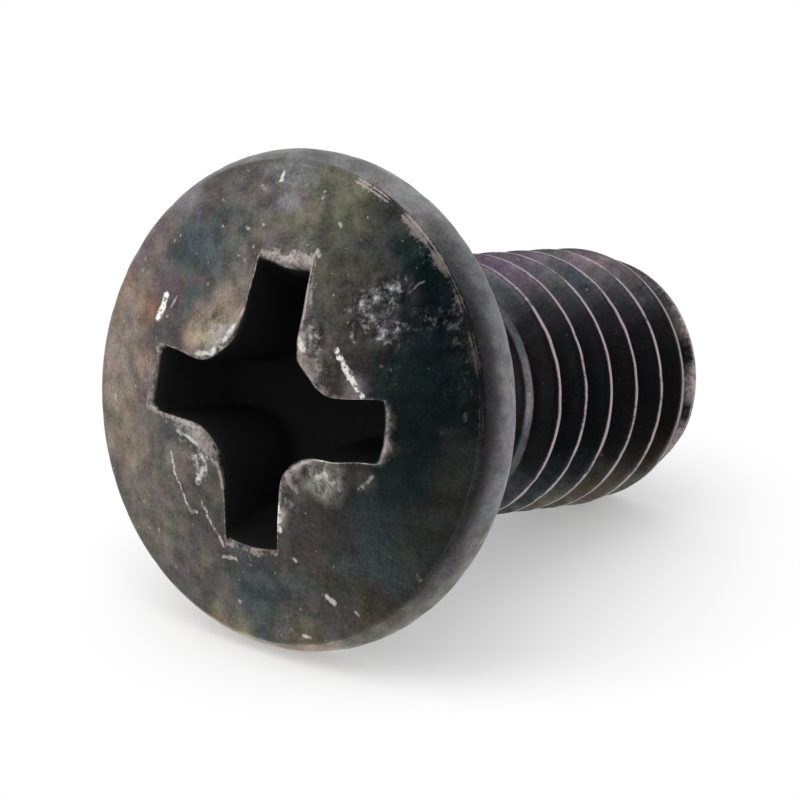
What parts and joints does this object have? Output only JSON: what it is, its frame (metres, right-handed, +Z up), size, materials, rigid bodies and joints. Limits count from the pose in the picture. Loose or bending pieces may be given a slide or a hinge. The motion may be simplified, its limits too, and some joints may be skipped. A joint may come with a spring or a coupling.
{
  "type": "machine screw",
  "caption": "Small machine screw with a low domed head, a cross recess and a fully threaded right-hand shank, lying at rest on its head's rim and its thread.",
  "frame": {"origin": "on the surface that the screw lies on, in the middle of its box", "axes": "+X along the screw from head to tip as it lies, +Z up"},
  "size_m": [0.0068, 0.0054, 0.0054],
  "materials": {
    "dark_plated_steel": "satin"
  },
  "bodies": {
    "root": {"screw": "dark_plated_steel"}
  },
  "joints": []
}
